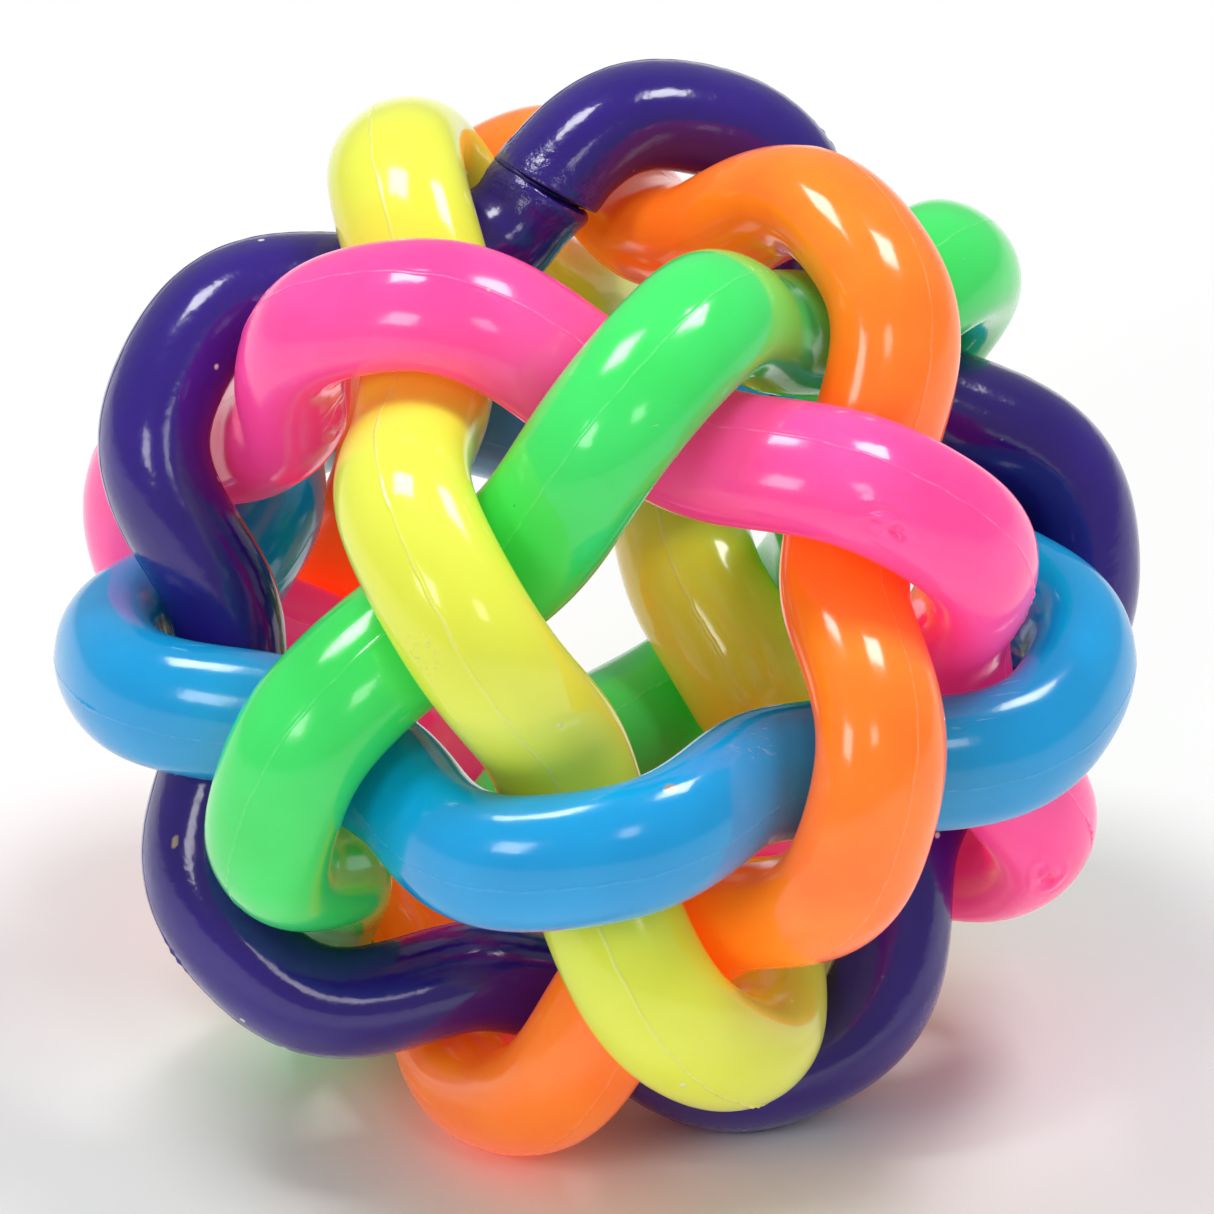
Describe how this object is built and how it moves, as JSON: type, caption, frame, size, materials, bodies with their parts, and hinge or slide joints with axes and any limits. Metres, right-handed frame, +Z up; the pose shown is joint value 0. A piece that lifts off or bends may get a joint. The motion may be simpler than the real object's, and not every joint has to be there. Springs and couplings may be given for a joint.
{
  "type": "woven puzzle ball",
  "caption": "Hollow play ball woven from wavy closed rings of soft glossy plastic that pass over and under one another, with finger windows all round.",
  "frame": {"origin": "centre of the ball, where the axes of all the rings meet", "axes": "+Z up along the level blue ring's axis, which is a fivefold axis of the weave; -Y towards the side that the purple ring's axis leans to; +X to the right seen from that side"},
  "size_m": [0.09, 0.0874, 0.0806],
  "materials": {
    "blue_soft_plastic": "glossy soft moulded plastic, slightly translucent",
    "purple_soft_plastic": "glossy soft moulded plastic, slightly translucent",
    "yellow_soft_plastic": "glossy soft moulded plastic, slightly translucent",
    "pink_soft_plastic": "glossy soft moulded plastic, slightly translucent",
    "green_soft_plastic": "glossy soft moulded plastic, slightly translucent",
    "orange_soft_plastic": "glossy soft moulded plastic, slightly translucent",
    "plug_plastic": "plain moulded plastic, hidden inside the strands"
  },
  "bodies": {
    "blue_ring": {"blue_strand": "blue_soft_plastic", "blue_joining_plug": "plug_plastic"},
    "purple_ring": {"purple_strand": "purple_soft_plastic", "purple_joining_plug": "plug_plastic"},
    "yellow_ring": {"yellow_strand": "yellow_soft_plastic", "yellow_joining_plug": "plug_plastic"},
    "pink_ring": {"pink_strand": "pink_soft_plastic", "pink_joining_plug": "plug_plastic"},
    "green_ring": {"green_strand": "green_soft_plastic", "green_joining_plug": "plug_plastic"},
    "orange_ring": {"orange_strand": "orange_soft_plastic", "orange_joining_plug": "plug_plastic"}
  },
  "joints": [
    {"name": "purple_ring_turn", "type": "hinge", "parent": "blue_ring", "child": "purple_ring", "pos_m": [0, 0, 0], "axis": [0, -0.8944, 0.4472], "range_deg": [-1.5, 1.5]},
    {"name": "yellow_ring_turn", "type": "hinge", "parent": "blue_ring", "child": "yellow_ring", "pos_m": [0, 0, 0], "axis": [0.8507, -0.2764, 0.4472], "range_deg": [-1.5, 1.5]},
    {"name": "pink_ring_turn", "type": "hinge", "parent": "blue_ring", "child": "pink_ring", "pos_m": [0, 0, 0], "axis": [0.5257, 0.7236, 0.4472], "range_deg": [-1.5, 1.5]},
    {"name": "green_ring_turn", "type": "hinge", "parent": "blue_ring", "child": "green_ring", "pos_m": [0, 0, 0], "axis": [-0.5257, 0.7236, 0.4472], "range_deg": [-1.5, 1.5]},
    {"name": "orange_ring_turn", "type": "hinge", "parent": "blue_ring", "child": "orange_ring", "pos_m": [0, 0, 0], "axis": [-0.8507, -0.2764, 0.4472], "range_deg": [-1.5, 1.5]}
  ]
}
